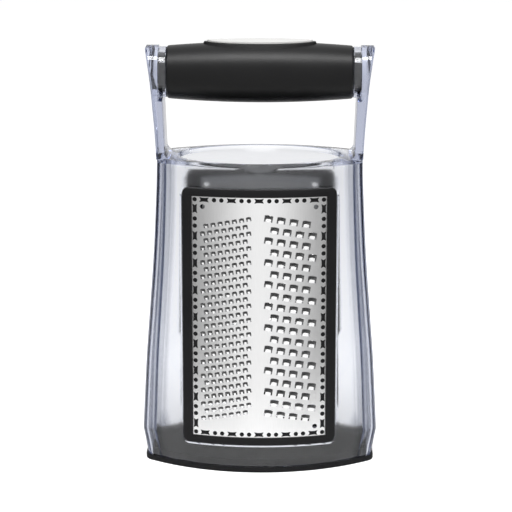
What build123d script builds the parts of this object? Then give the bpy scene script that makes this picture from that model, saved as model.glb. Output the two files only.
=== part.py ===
"""A two-sided box grater with a clear body, a barrel grip and lift-out blade cartridges.

The body stands in a shallow tray with a rubber foot. Both wide walls are parts of
cylinders that lean in towards the rim, and each carries one cartridge between rails.
Millimetres, +Z up, front towards -Y, origin on the table under the middle of the body.
"""

from build123d import *
import math
import os

# Clear body: heights, depths and walls
body_bottom_z = 3.2
rim_z = 191.0
bottom_half_depth = 41.6
wall_draw_in = 10.3
wall_radius = 118.0
wall_thickness = 2.4
side_thickness = 3.0
corner_radius = 6.5
corner_flats = 3

# Clear body seen from the front: half width at the base, and how far the foot and waist are drawn in
base_half_width = 73.6
foot_step_in = 2.0
waist_draw_in = 10.4
base_chamfer_height = 15.8
side_face_at_base = 9.5
side_face_at_rim = 6.9

# How the side outline narrows from base to waist, as (height share, width share)
waist_outline_shares = ((0.33, 0.76), (0.505, 0.49), (0.68, 0.23), (0.85, 0.087), (0.98, 0.0))
# How the arms spread again from waist to top, as (height share, width share)
arm_outline_shares = ((0.215, 0.1), (0.437, 0.25), (0.7, 0.47), (0.874, 0.71))

# Rim plate with its lens-shaped mouth, and the tabs that lock the walls to the sides
mouth_from_side = 13.6
mouth_past_wall = 0.3
rim_plate_thickness = 3.0
split_inside_mouth = 5.6
tab_from_side = 13.2
tab_width = 3.6
tab_height = 1.8
tab_below_rim = 1.1

# Arms, which spread above the waist
arm_spread = 6.1
arm_half_depth = 16.3
arm_foot_thickness = 5.9
arm_inner_spread = 3.7
arm_foot_radius = 5.0
arm_outer_edge_bevel = 1.2

# Handle
grip_above_rim = 50.5
grip_middle_radius = 18.3
grip_taper = 2.4
grip_end_bevel = 1.2
grip_strips = 5
grip_wall = 3.9
spigot_radius = 7.0
spigot_depth = 2.4
collar_length = 4.8
collar_step = 0.5

# Inlay on top of the grip and the raised land round it
land_length = 68.0
land_rise = 1.2
land_border_side = 1.9
land_border_end = 2.25
inlay_width = 14.8
inlay_rise = 2.0
inlay_floor_above_core = 2.4

# Blade cartridges, in the leaning frame of their wall
seat_gap = 0.3
frame_thickness = 4.2
frame_from_side = 16.6
frame_bottom_rise = 15.2
frame_below_rim = 14.4
frame_corner_radius = 4.0
frame_border_side = 5.8
frame_border_end = 4.7
blade_back = 2.6
blade_thickness = 0.5
blade_view_corner = 2.2
blade_tuck = 1.6
blade_strips = 8
back_lip = 4.0

# Rails that guide a cartridge
rail_gap = 0.3
rail_thickness = 1.0
rail_height = 3.3
rail_short_of_top = 5.0
tongue_reach = 1.2
tongue_rise = 1.6
tongue_thickness = 1.1
groove_gap = 0.3

# Teeth: a fine tooth is the sharp edge below a leaning cut. A large one is a tongue that stands inside
# its cut, narrower than the cut and still joined to the sheet at its foot. Places across a blade are
# shares of half its visible width, and a stagger is a share of the pitch.
tongue_front_share = 0.25
tongue_back_share = 0.85
# Fine teeth, left of the middle of the front blade
fine_rows = 28
fine_columns = 7
fine_left_share = -0.782
fine_right_share = -0.1525
fine_stagger_share = -0.49
fine_below_top = 17.8
fine_above_bottom = 11.7
fine_slope = 10.8
fine_width = 2.6
fine_height = 2.2
fine_edge_angle = 25.0

# Coarse teeth, right of the middle of the front blade
coarse_rows = 19
coarse_columns = 4
coarse_left_share = 0.14
coarse_right_share = 0.695
coarse_stagger_share = 0.48
coarse_below_top = 12.5
coarse_above_bottom = 16.1
coarse_slope = -9.5
coarse_width = 5.1
coarse_height = 4.0
coarse_lip_length = 2.2
coarse_lip_width = 3.3
coarse_lip_rise = 1.1

# Extra coarse teeth and ribbon slots of the rear blade
extra_rows = 12
extra_columns = 3
extra_left_share = 0.176
extra_right_share = 0.686
extra_stagger_share = 0.35
extra_below_top = 15.0
extra_above_bottom = 17.2
extra_slope = -9.5
extra_width = 7.2
extra_height = 5.4
extra_lip_length = 2.8
extra_lip_width = 5.0
extra_lip_rise = 1.5
ribbon_rows = 11
ribbon_middle_share = -0.478
ribbon_below_top = 16.0
ribbon_above_bottom = 16.8
ribbon_width = 28.0
ribbon_height = 5.0
ribbon_lip_length = 2.4
ribbon_lip_side_gap = 1.2
ribbon_lip_rise = 1.6

# Holes that place the blade in its mould
placing_hole_radius = 1.45
placing_hole_from_side = 6.8
placing_hole_from_end = 6.2

# Tray and rubber foot
flange_thickness = 1.8
tray_rise = 4.2
tray_gap = 0.5
tray_wall = 1.8
foot_proud = 1.3
foot_ledge = 8.0

# One overrun for every cut, larger than any wall that is cut
overrun = 10.0

# What follows from these
body_height = rim_z - body_bottom_z
rim_half_depth = bottom_half_depth - wall_draw_in
lean = math.degrees(math.atan(wall_draw_in / body_height))
foot_half_width = base_half_width - foot_step_in
waist_half_width = base_half_width - waist_draw_in
arm_top_half_width = waist_half_width + arm_spread
arm_inner_at_rim = waist_half_width - arm_foot_thickness
arm_inner_at_grip = arm_inner_at_rim + arm_inner_spread
grip_axis_z = rim_z + grip_above_rim
grip_half_length = arm_inner_at_grip - collar_length
grip_end_radius = grip_middle_radius - grip_taper
core_radius = grip_end_radius - grip_wall
collar_radius = grip_end_radius - collar_step
arm_top_z = grip_axis_z + arm_half_depth
chamfer_top_z = body_bottom_z + base_chamfer_height
reach = bottom_half_depth + wall_radius
frame_width = 2 * (waist_half_width - frame_from_side)
frame_height = body_height - frame_bottom_rise - frame_below_rim
blade_view_width = frame_width - 2 * frame_border_side
blade_view_height = frame_height - 2 * frame_border_end
blade_top = frame_bottom_rise + frame_height - frame_border_end
flange_bottom_z = body_bottom_z - flange_thickness
tray_rim_z = body_bottom_z + tray_rise
# From the side's direction to the wall's where they meet
corner_turn = 90 - math.degrees(math.asin(waist_half_width / wall_radius))

# The leaning frame of a wall: x across, -y outwards, z up along the wall
front_seat = Location((0, -bottom_half_depth, body_bottom_z), (-lean, 0, 0))
half_turn = Rot(0, 0, 180)
wall_axis = Pos(0, wall_radius, 0)


def between(low_z, high_z):
    """Slab that reaches past the whole part, between two heights."""
    span = 2 * reach
    return Pos(0, 0, low_z) * Box(span, span, high_z - low_z, align=(Align.CENTER, Align.CENTER, Align.MIN))


def outline_points():
    """Outer side of the front view from the top of the base chamfer to the top of the arm."""
    points = [(base_half_width, chamfer_top_z)]
    for height_share, width_share in waist_outline_shares:
        width = waist_half_width + width_share * (base_half_width - waist_half_width)
        points.append((width, body_bottom_z + height_share * body_height))
    for height_share, width_share in arm_outline_shares:
        width = waist_half_width + width_share * (arm_top_half_width - waist_half_width)
        points.append((width, rim_z + height_share * (arm_top_z - rim_z)))
    points.append((arm_top_half_width, arm_top_z))
    return points


def half_span(half_width, z, wall_inset, corner, turn):
    """How far the plan at one height reaches from the axis, in a direction turned from the side.

    Turned by zero this is the half width. In between side and wall it is the reach of the
    corner's arc, which touches both.
    """
    if turn == 0:
        return half_width
    centre_x = half_width - corner
    axis_back = wall_radius - bottom_half_depth + (z - body_bottom_z) * math.tan(math.radians(lean))
    centre_y = math.sqrt((wall_radius - wall_inset - corner) ** 2 - centre_x ** 2) - axis_back
    angle = math.radians(abs(turn))
    return centre_x * math.cos(angle) + centre_y * math.sin(angle) + corner


def side_prism(side_inset, flared=True, wall_inset=0, corner=corner_radius, turn=0):
    """Everything between the two sides, or between the flats that round two opposite corners."""
    low = body_bottom_z - overrun
    feet = [(foot_half_width, low), (foot_half_width, body_bottom_z)]
    if flared:
        sides = outline_points()
    else:
        sides = [(foot_half_width, arm_top_z)]

    def moved(points):
        return [(half_span(x - side_inset, z, wall_inset, corner, turn), z) for x, z in points]

    lower = Polyline((0, low), *moved(feet), moved(sides)[0])
    upper = Polyline(moved(sides)[-1], (0, arm_top_z), (0, low))
    outline = lower + upper
    if flared:
        outline = outline + Spline(*moved(sides))
    half = make_face(outline)
    whole = half + mirror(half, Plane.YZ)
    return Rot(0, 0, turn) * extrude(Plane.XZ * whole, amount=reach, both=True)


def leaning_cylinder(inset):
    """The cylinder whose skin is the front wall, inset from the wall's outer face."""
    return front_seat * wall_axis * Cylinder(wall_radius - inset, 2 * (reach + rim_z))


def envelope(wall_inset, side_inset, corner, low_z, high_z, flared=True):
    """The body's form inset from its skin, with each upright corner rounded by narrow flats."""
    cylinder = leaning_cylinder(wall_inset)
    form = side_prism(side_inset, flared) & cylinder & (half_turn * cylinder) & between(low_z, high_z)
    for flat in range(corner_flats):
        turn = corner_turn * (flat + 1) / (corner_flats + 1)
        for way in (-turn, turn):
            form = form & side_prism(side_inset, flared, wall_inset, corner, way)
    return form


def seam_zone():
    """Everything outwards of the seams between side frames and walls, on both sides."""
    points = []
    for x, z in outline_points():
        height_share = min((z - body_bottom_z) / body_height, 1)
        face = side_face_at_base + height_share * (side_face_at_rim - side_face_at_base)
        points.append((x - face, z))
    low = body_bottom_z - overrun
    far = base_half_width + overrun
    foot = base_half_width - side_face_at_base
    top = points[-1]
    half = make_face(
        Polyline((far, low), (foot, low), points[0])
        + Spline(*points)
        + Polyline(top, (top[0], top[1] + overrun), (far, top[1] + overrun), (far, low))
    )
    return extrude(Plane.XZ * half, amount=reach, both=True)


def arm():
    """Right arm: a plate with a full round top, thinnest under the grip."""
    bend_z = grip_axis_z - collar_radius
    slope = (arm_inner_at_grip - arm_inner_at_rim) / (bend_z - rim_z)
    foot_top = (arm_inner_at_rim + slope * arm_foot_radius, rim_z + arm_foot_radius)
    foot_start = (arm_inner_at_rim - arm_foot_radius, rim_z)
    far = arm_top_half_width + overrun
    high = arm_top_z + overrun
    inner_side = TangentArc(foot_start, foot_top, tangent=(1, 0))
    rest = Polyline(
        foot_top,
        (arm_inner_at_grip, bend_z),
        (arm_inner_at_grip, high),
        (far, high),
        (far, rim_z),
        foot_start,
    )
    front_view = extrude(Plane.XZ * make_face(inner_side + rest), amount=reach, both=True)
    side_view = Plane.YZ * (
        Pos(0, (rim_z + grip_axis_z) / 2) * Rectangle(2 * arm_half_depth, grip_axis_z - rim_z)
        + Pos(0, grip_axis_z) * Circle(arm_half_depth)
    )
    plate = side_prism(0) & front_view & extrude(side_view, amount=reach)
    outer = [
        edge
        for edge in plate.edges()
        if edge.center().X > arm_inner_at_grip
        and edge.bounding_box().size.X < overrun
        and edge.bounding_box().size.Z > overrun
        and abs(edge.center().Y) + edge.bounding_box().size.Y > arm_half_depth / 2
    ]
    return chamfer(outer, arm_outer_edge_bevel)


def through_wall(width, height, corner):
    """Block of rounded outline that passes through the front wall only, centred on the cartridge."""
    sketch = RectangleRounded(width, height, corner)
    middle = frame_bottom_rise + frame_height / 2
    return Pos(0, wall_radius / 2, middle) * extrude(Plane.XZ * sketch, amount=wall_radius)


def cartridge_outline(grow):
    """A frame's outline seen from the front, grown all round, as a block through the wall."""
    return through_wall(frame_width + 2 * grow, frame_height + 2 * grow, frame_corner_radius + grow)


def blade_outline(grow):
    """The blade's visible outline seen from the front, grown all round, as a block."""
    corner = max(blade_view_corner + grow, blade_view_corner)
    return through_wall(blade_view_width + 2 * grow, blade_view_height + 2 * grow, corner)


def skin(inner, outer):
    """Curved sheet between two heights above the wall's outer face."""
    tall = 2 * frame_height + 2 * frame_bottom_rise
    return wall_axis * (Cylinder(wall_radius + outer, tall) - Cylinder(wall_radius + inner, tall))


def strips(inner, outer):
    """Sheet bent to the wall's curve in flat strips, so that many holes stay light to draw."""
    tall = 2 * frame_height + 2 * frame_bottom_rise
    front = wall_radius + seat_gap + blade_back + blade_thickness
    half_turn_angle = math.asin((blade_view_width / 2 + blade_tuck) / front)
    angles = [half_turn_angle * (2 * step / blade_strips - 1) for step in range(blade_strips + 1)]
    near = [((wall_radius + inner) * math.sin(a), -(wall_radius + inner) * math.cos(a)) for a in angles]
    far = [((wall_radius + outer) * math.sin(a), -(wall_radius + outer) * math.cos(a)) for a in angles]
    section = make_face(Polyline(*near, *reversed(far), near[0]))
    return wall_axis * extrude(section, amount=tall)


def front_half(tall):
    """Block in front of a cylinder's axis, so that only its front skin is kept."""
    return Pos(0, -reach / 2 + wall_radius / 2, 0) * Box(2 * reach, reach, 2 * tall)


def on_blade(x, z):
    """Place on the blade's front face, with -y pointing straight out of it."""
    radius = wall_radius + seat_gap + blade_back + blade_thickness
    turn = math.degrees(math.asin(x / radius))
    return wall_axis * Rot(0, 0, turn) * Pos(0, -radius, z)


def tongue_cut(width, height, lip_length):
    """Opening round a tongue: it reaches below the tongue's cutting edge by the tongue's length."""
    return Pos(0, 0, height / 2 - lip_length) * Box(width, 2 * blade_back, height)


def leaning_cut(width, height):
    """Opening whose lower wall leans up and outwards, so that the sheet below it ends in a sharp edge."""
    run = 2 * blade_back
    rise = run * math.tan(math.radians(fine_edge_angle))
    section = Polyline((run, -rise), (-run, rise), (-run, height + rise), (run, height - rise), (run, -rise))
    return Pos(-width / 2, 0, 0) * extrude(Plane.YZ * make_face(section), amount=width)


def tongue_lip(width, length, rise):
    """Lip bent out of the sheet inside its cut, with its foot held inside the sheet."""
    front = blade_thickness * tongue_front_share
    back = blade_thickness * tongue_back_share
    section = Polyline(
        (front - rise, 0),
        (front, -length),
        (front, -length - blade_thickness),
        (back, -length - blade_thickness),
        (back, -length),
        (back - rise, 0),
        (front - rise, 0),
    )
    return Pos(-width / 2, 0, 0) * extrude(Plane.YZ * make_face(section), amount=width)


def field_places(rows, columns, side_shares, stagger_share, below_top, above_bottom, slope):
    """Places of a field of teeth: sloping rows, every second one staggered."""
    left, right = [share * blade_view_width / 2 for share in side_shares]
    pitch_x = (right - left) / max(columns - 1, 1)
    pitch_z = (blade_view_height - below_top - above_bottom) / (rows - 1)
    climb = math.tan(math.radians(slope))
    places = []
    for row in range(rows):
        start = left + stagger_share * pitch_x * (row % 2)
        for column in range(columns):
            x = start + column * pitch_x
            places.append(on_blade(x, blade_top - below_top - row * pitch_z + (x - left) * climb))
    return places


def blade_sheet():
    """Blade sheet with its edge tucked into the frame and placing holes in three of its corners."""
    front = blade_back + seat_gap + blade_thickness
    sheet = strips(front - blade_thickness, front) & blade_outline(blade_tuck)
    drill = Cylinder(placing_hole_radius, 2 * blade_back, rotation=(90, 0, 0))
    hole_x = blade_view_width / 2 - placing_hole_from_side
    high_z = blade_top - placing_hole_from_end
    low_z = blade_top - blade_view_height + placing_hole_from_end
    return sheet - [on_blade(x, z) * drill for x, z in ((-hole_x, high_z), (hole_x, high_z), (hole_x, low_z))]


def cartridge_frame():
    """Moulded frame: back lip, slot for the blade, front lip and a groove down each side."""
    middle = frame_bottom_rise + frame_height / 2
    front = seat_gap + blade_back + blade_thickness
    block = skin(seat_gap, seat_gap + frame_thickness) & cartridge_outline(0)
    block = block - blade_outline(-back_lip)
    block = block - (strips(front - blade_thickness, frame_thickness + overrun) & blade_outline(0))
    block = block - (strips(front - blade_thickness, front) & blade_outline(blade_tuck))
    groove = skin(tongue_rise - groove_gap, tongue_rise + tongue_thickness + groove_gap)
    groove_x = frame_width / 2 + rail_gap - tongue_reach - groove_gap
    for side in (-1, 1):
        cut = Pos(side * (groove_x + overrun / 2), 0, middle) * Box(overrun, 2 * reach, 2 * frame_height)
        block = block - (groove & cut & front_half(reach))
    return block


def rails():
    """Guide round a cartridge's sides and bottom, with a tongue down each side."""
    tall = frame_bottom_rise + frame_height - rail_short_of_top
    outer = cartridge_outline(rail_gap + rail_thickness)
    inner = cartridge_outline(rail_gap)
    under_top = Pos(0, 0, tall / 2) * Box(2 * reach, 2 * reach, tall)
    wall = (outer - inner) & skin(0, rail_height) & under_top
    tongue_low = frame_bottom_rise + frame_corner_radius
    tongues = skin(tongue_rise, tongue_rise + tongue_thickness) & front_half(reach)
    inner_x = frame_width / 2 + rail_gap
    bar = Box(tongue_reach + rail_thickness / 2, 2 * reach, tall - tongue_low)
    for side in (-1, 1):
        x = side * (inner_x - tongue_reach / 2 + rail_thickness / 4)
        wall = wall + (tongues & (Pos(x, 0, (tongue_low + tall) / 2) * bar))
    return wall


def barrel(rise):
    """Solid barrel about the grip's axis, raised above the grip's own skin."""
    sag = grip_middle_radius - grip_end_radius
    profile = []
    for strip in range(grip_strips + 1):
        share = 2 * strip / grip_strips - 1
        profile.append((share * grip_half_length, grip_middle_radius - sag * share ** 2 + rise))
    left_end = (-grip_half_length, 0)
    right_end = (grip_half_length, 0)
    section = make_face(Polyline(left_end, *profile, right_end, left_end))
    return Pos(0, 0, grip_axis_z) * revolve(Plane.XZ * section, Axis.X)


def oval(length, width):
    """Upright oval block above the grip's axis."""
    sketch = Pos(0, 0, grip_axis_z) * Ellipse(length / 2, width / 2)
    return extrude(sketch, amount=2 * grip_middle_radius)


def rod(radius, start_x, end_x):
    """Round bar along the grip's axis between two places."""
    turned = Cylinder(radius, end_x - start_x, rotation=(0, 90, 0))
    return Pos((start_x + end_x) / 2, 0, grip_axis_z) * turned


parts = {}

# Clear shell, cut into two side frames and two walls
outer_form = envelope(0, 0, corner_radius, body_bottom_z, rim_z)
inner_low = body_bottom_z - overrun / 2
inner_high = rim_z + overrun / 2
inner_form = envelope(wall_thickness, side_thickness, corner_radius - wall_thickness, inner_low, inner_high)
shell = outer_form - inner_form
mouth_half_width = waist_half_width - mouth_from_side
mouth_half_depth = rim_half_depth - wall_thickness + mouth_past_wall
mouth_low = Pos(0, 0, rim_z - 2 * rim_plate_thickness)
mouth = extrude(mouth_low * Ellipse(mouth_half_width, mouth_half_depth), overrun)
rim_plate = (inner_form & between(rim_z - rim_plate_thickness, rim_z)) - mouth
right_seam = seam_zone()
seams = right_seam + mirror(right_seam, Plane.YZ)

side_shell = shell & right_seam
split_x = mouth_half_width - split_inside_mouth
past_split = Pos(split_x + reach / 2, 0, rim_z) * Box(reach, 2 * reach, overrun)
shelf = rim_plate & past_split
tab_z = rim_z - tab_below_rim - tab_height / 2
tab_x = waist_half_width - tab_from_side
tabs = []
for side_x in (-tab_x, tab_x):
    tabs.append(Pos(side_x, 0, tab_z) * Box(tab_width, 2 * reach, tab_height))
right_tabs = shell & tabs[1]
socket = rod(spigot_radius, arm_inner_at_grip, arm_inner_at_grip + spigot_depth)
right_frame = side_shell + shelf + right_tabs + arm() - socket
parts["side_frame_right"] = right_frame
parts["side_frame_left"] = half_turn * right_frame

wall_block = (shell - seams) - tabs[0] - tabs[1]
front_side = Pos(0, -reach / 2, rim_z / 2) * Box(2 * reach, reach, 2 * rim_z)
rim_flange = rim_plate - past_split - (half_turn * past_split)
window = front_seat * blade_outline(-back_lip)
front_wall = (wall_block + rim_flange) & front_side
front_wall = front_wall + (front_seat * rails()) - (window & front_side)
parts["front_wall"] = front_wall
parts["rear_wall"] = half_turn * front_wall

# Blade cartridges
fine_places = field_places(
    fine_rows, fine_columns, (fine_left_share, fine_right_share), fine_stagger_share,
    fine_below_top, fine_above_bottom, fine_slope,
)
coarse_places = field_places(
    coarse_rows, coarse_columns, (coarse_left_share, coarse_right_share), coarse_stagger_share,
    coarse_below_top, coarse_above_bottom, coarse_slope,
)
front_blade = blade_sheet()
coarse_cut = tongue_cut(coarse_width, coarse_height, coarse_lip_length)
front_blade = front_blade - (
    [place * leaning_cut(fine_width, fine_height) for place in fine_places]
    + [place * coarse_cut for place in coarse_places]
)
front_blade = front_blade + [
    place * tongue_lip(coarse_lip_width, coarse_lip_length, coarse_lip_rise) for place in coarse_places
]
parts["front_blade"] = front_seat * front_blade

extra_places = field_places(
    extra_rows, extra_columns, (extra_left_share, extra_right_share), extra_stagger_share,
    extra_below_top, extra_above_bottom, extra_slope,
)
ribbon_places = field_places(
    ribbon_rows, 1, (ribbon_middle_share, ribbon_middle_share), 0, ribbon_below_top, ribbon_above_bottom, 0
)
rear_blade = blade_sheet()
extra_cut = tongue_cut(extra_width, extra_height, extra_lip_length)
ribbon_cut = tongue_cut(ribbon_width, ribbon_height, ribbon_lip_length)
ribbon_lip_width = ribbon_width - 2 * ribbon_lip_side_gap
rear_blade = rear_blade - (
    [place * extra_cut for place in extra_places]
    + [place * ribbon_cut for place in ribbon_places]
)
rear_blade = rear_blade + (
    [place * tongue_lip(extra_lip_width, extra_lip_length, extra_lip_rise) for place in extra_places]
    + [place * tongue_lip(ribbon_lip_width, ribbon_lip_length, ribbon_lip_rise) for place in ribbon_places]
)
parts["rear_blade"] = half_turn * front_seat * rear_blade

frame = front_seat * cartridge_frame()
parts["front_frame"] = frame
parts["rear_frame"] = half_turn * frame

# Handle
land = barrel(land_rise) & oval(land_length, inlay_width + 2 * land_border_side)
inlay_outline = oval(land_length - 2 * land_border_end, inlay_width)
pocket = Pos(0, 0, core_radius + inlay_floor_above_core) * inlay_outline
inlay = barrel(inlay_rise) & pocket
grip = barrel(0)
near_end = grip_half_length - overrun
ends = [edge for edge in grip.edges().filter_by(GeomType.CIRCLE) if abs(edge.center().X) > near_end]
grip = chamfer(ends, grip_end_bevel)
grip = grip + land - pocket - rod(core_radius, -grip_half_length - overrun, grip_half_length + overrun)
parts["handle_grip"] = grip
parts["handle_inlay"] = inlay
spigot_end = arm_inner_at_grip + spigot_depth
core = rod(core_radius, -grip_half_length, grip_half_length) + rod(spigot_radius, -spigot_end, spigot_end)
parts["handle_core"] = core
collar = rod(collar_radius, grip_half_length, arm_inner_at_grip) - rod(spigot_radius, 0, spigot_end)
parts["collar_right"] = collar
parts["collar_left"] = half_turn * parts["collar_right"]

# Tray and foot
tray_wall_inset = wall_thickness + tray_gap
tray_side_inset = side_thickness + tray_gap
tray_corner = corner_radius - tray_wall_inset
upstand = envelope(
    tray_wall_inset, tray_side_inset, tray_corner, flange_bottom_z, tray_rim_z, flared=False
) - envelope(
    tray_wall_inset + tray_wall, tray_side_inset + tray_wall, tray_corner - tray_wall,
    body_bottom_z, tray_rim_z + overrun, flared=False
)
flange = envelope(0, 0, corner_radius, flange_bottom_z, body_bottom_z, flared=False)
parts["base_tray"] = flange + upstand
foot = envelope(-foot_proud, -foot_proud, corner_radius + foot_proud, 0, body_bottom_z, flared=False)
foot_hole = envelope(foot_ledge, foot_ledge, tray_corner, -overrun, body_bottom_z + overrun, flared=False)
parts["foot_ring"] = foot - flange - foot_hole

os.makedirs("parts", exist_ok=True)
for name, solid in parts.items():
    export_step(solid, f"parts/{name}.step")
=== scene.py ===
import bmesh
import bpy
import math
from functools import partial
from mathutils import Matrix, Vector


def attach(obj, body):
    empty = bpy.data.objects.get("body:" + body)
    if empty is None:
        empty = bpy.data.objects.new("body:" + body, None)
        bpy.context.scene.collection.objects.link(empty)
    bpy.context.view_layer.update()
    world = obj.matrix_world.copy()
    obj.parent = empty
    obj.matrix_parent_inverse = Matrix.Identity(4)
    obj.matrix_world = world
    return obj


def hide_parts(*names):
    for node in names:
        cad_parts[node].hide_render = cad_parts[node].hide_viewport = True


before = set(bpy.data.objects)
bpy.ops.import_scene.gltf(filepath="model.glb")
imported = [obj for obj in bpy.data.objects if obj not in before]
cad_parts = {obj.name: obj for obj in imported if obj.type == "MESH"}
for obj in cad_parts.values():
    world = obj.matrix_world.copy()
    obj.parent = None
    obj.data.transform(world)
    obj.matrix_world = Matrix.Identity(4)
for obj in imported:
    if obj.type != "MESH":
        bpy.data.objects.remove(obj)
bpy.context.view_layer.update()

# Rubber foot.
# A soft black ring is pressed over the tray's edge and stands a little proud all round.
# It is moulded matt, with a fine grain that dulls its shine.
mm = 0.001


def feed(tree, target, inputs):
    """Inputs of one node, linked to sockets or set to plain values."""
    for label, value in inputs.items():
        if isinstance(value, bpy.types.NodeSocket):
            tree.links.new(value, target.inputs[label])
        else:
            target.inputs[label].default_value = value


def settled(target, **settings):
    """A node, modifier, lamp or camera with its settings made."""
    for label, value in settings.items():
        setattr(target, label, value)
    return target


def node(tree, kind, inputs=None, **settings):
    """New node with its settings made and its inputs fed."""
    made = settled(tree.nodes.new(kind), **settings)
    feed(tree, made, inputs or {})
    return made


def reckon(tree, operation, *values):
    """Result of a maths node on sockets or plain numbers."""
    return node(tree, "ShaderNodeMath", dict(enumerate(values)), operation=operation).outputs["Value"]


def new_tree(kind, name, inputs, outputs):
    """Node tree with its own named sockets."""
    tree = bpy.data.node_groups.new(name, kind + "NodeTree")
    for way, sockets in (("INPUT", inputs), ("OUTPUT", outputs)):
        for socket_kind, label in sockets:
            tree.interface.new_socket(label, in_out=way, socket_type="NodeSocket" + socket_kind)
    return tree, node(tree, "NodeGroupInput").outputs, node(tree, "NodeGroupOutput")


def new_material(name):
    """Material with its node tree and its main shader."""
    material = bpy.data.materials.new(name)
    material.use_nodes = True
    return material, material.node_tree, material.node_tree.nodes["Principled BSDF"]


def moulded_grain():
    """Fine grain and slow mottling of moulded plastic or rubber."""
    tree, given, made = new_tree(
        "Shader", "Moulded grain",
        [
            ("Color", "Colour"), ("Color", "Rubbed Colour"), ("Float", "Grain Scale"),
            ("Float", "Roughness"), ("Float", "Roughness Spread"),
        ],
        [("Color", "Colour"), ("Float", "Roughness"), ("Float", "Height")],
    )
    place = node(tree, "ShaderNodeTexCoord").outputs["Object"]
    grain = node(tree, "ShaderNodeTexNoise", {"Vector": place, "Scale": given["Grain Scale"], "Detail": 3.0})
    mottle = node(tree, "ShaderNodeTexNoise", {"Vector": place, "Scale": 45.0, "Detail": 4.0}).outputs["Fac"]
    colour = node(tree, "ShaderNodeMix", {
        "Factor": mottle, "A": given["Colour"], "B": given["Rubbed Colour"],
    }, data_type="RGBA").outputs["Result"]
    rough = reckon(tree, "MULTIPLY_ADD", mottle, given["Roughness Spread"], given["Roughness"])
    feed(tree, made, {"Colour": colour, "Roughness": rough, "Height": grain.outputs["Fac"]})
    return tree


grain_group = moulded_grain()


def moulded(name, colour, rubbed, roughness, spread, scale, depth, shine):
    """Material of one moulded plastic or rubber."""
    material, tree, shader = new_material(name)
    grain = node(tree, "ShaderNodeGroup", {
        "Colour": (*colour, 1), "Rubbed Colour": (*rubbed, 1), "Grain Scale": scale,
        "Roughness": roughness, "Roughness Spread": spread,
    }, node_tree=grain_group).outputs
    bump = node(tree, "ShaderNodeBump", {"Strength": 0.5, "Distance": depth, "Height": grain["Height"]})
    feed(tree, shader, {
        "Specular IOR Level": shine, "Base Color": grain["Colour"], "Roughness": grain["Roughness"],
        "Normal": bump.outputs["Normal"],
    })
    return material


foot_rubber = moulded(
    "foot rubber", (0.008, 0.008, 0.009), (0.016, 0.016, 0.017), 0.5, 0.12, 900.0, 0.00008, 0.15
)

body_bottom = 3.2
body_top = 191.0
bottom_half_depth = 41.6
wall_draw_in = 10.3
wall_radius = 118.0
foot_half_width = 69.8
corner_radius = 6.5
lean = math.atan(wall_draw_in / (body_top - body_bottom))


def axis_back(z):
    """Distance of the axis that a wall is bent round from the middle plane, at one height."""
    return wall_radius - bottom_half_depth + (z - body_bottom) * math.tan(lean)


def quarter_plan(half_width, z, side_inset, wall_inset, corner):
    """Plan of a quarter of the body, from the middle of a side round the corner to the wall."""
    centre_x = half_width - side_inset - corner
    centre_y = math.sqrt((wall_radius - wall_inset - corner) ** 2 - centre_x ** 2)
    sweep = math.atan2(centre_y, centre_x)
    points = [(half_width - side_inset, 0.0)]
    steps = 8
    for step in range(steps + 1):
        turn = sweep * step / steps
        x = centre_x + corner * math.cos(turn)
        points.append((x, centre_y - axis_back(z) + corner * math.sin(turn)))
    return points


def wall_y(x, z, inset):
    """Distance of the wall's skin from the middle plane at one place across."""
    return math.sqrt((wall_radius - inset) ** 2 - x ** 2) - axis_back(z)


def whole_plan(half_width, z, side_inset, wall_inset, corner):
    """Closed plan of the body at one height."""
    quarter = quarter_plan(half_width, z, side_inset, wall_inset, corner)
    steps = 28
    across = [quarter[-1][0] * (1 - 2 * step / steps) for step in range(1, steps)]
    arc = [(x, wall_y(x, z, wall_inset)) for x in across]
    left = [(-x, y) for x, y in reversed(quarter)]
    half = quarter + arc + left[:-1]
    return [(x, y, z) for x, y in half] + [(-x, -y, z) for x, y in half]


def loft(rings, closed=False):
    """Faces between rings of points: the last ring meets the first, or both ends are capped."""
    count = len(rings[0])
    points = [point for ring in rings for point in ring]
    faces = []
    for span in range(len(rings) if closed else len(rings) - 1):
        low = span * count
        high = (span + 1) % len(rings) * count
        for index in range(count):
            after = (index + 1) % count
            faces.append((low + index, low + after, high + after, high + index))
    if not closed:
        faces.append(tuple(reversed(range(count))))
        faces.append(tuple(range((len(rings) - 1) * count, len(rings) * count)))
    return points, faces


def solid_mesh(points, faces, place=Matrix.Identity(4)):
    """Closed mesh in metres from points in millimetres, with its faces turned outwards."""
    mesh = bpy.data.meshes.new("solid")
    mesh.from_pydata([Vector(point) for point in points], [], faces)
    turned_out = bmesh.new()
    turned_out.from_mesh(mesh)
    bmesh.ops.remove_doubles(turned_out, verts=turned_out.verts, dist=0.001)
    bmesh.ops.recalc_face_normals(turned_out, faces=turned_out.faces)
    turned_out.to_mesh(mesh)
    turned_out.free()
    mesh.transform(place)
    mesh.transform(Matrix.Scale(mm, 4))
    return mesh


def linked(name, data):
    """New object in the scene."""
    thing = bpy.data.objects.new(name, data)
    bpy.context.collection.objects.link(thing)
    return thing


def finished(name, mesh, material, body, nodes, degrees=35.0):
    """Piece of the grater in place of CAD nodes, riding on their body. Its sharp edges stay crisp."""
    for polygon in mesh.polygons:
        polygon.use_smooth = True
    mesh.set_sharp_from_angle(angle=math.radians(degrees))
    mesh.materials.clear()
    mesh.materials.append(material)
    mesh.name = name
    piece = linked(name, mesh)
    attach(piece, body)
    if nodes:
        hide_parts(*nodes)
    return piece


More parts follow.
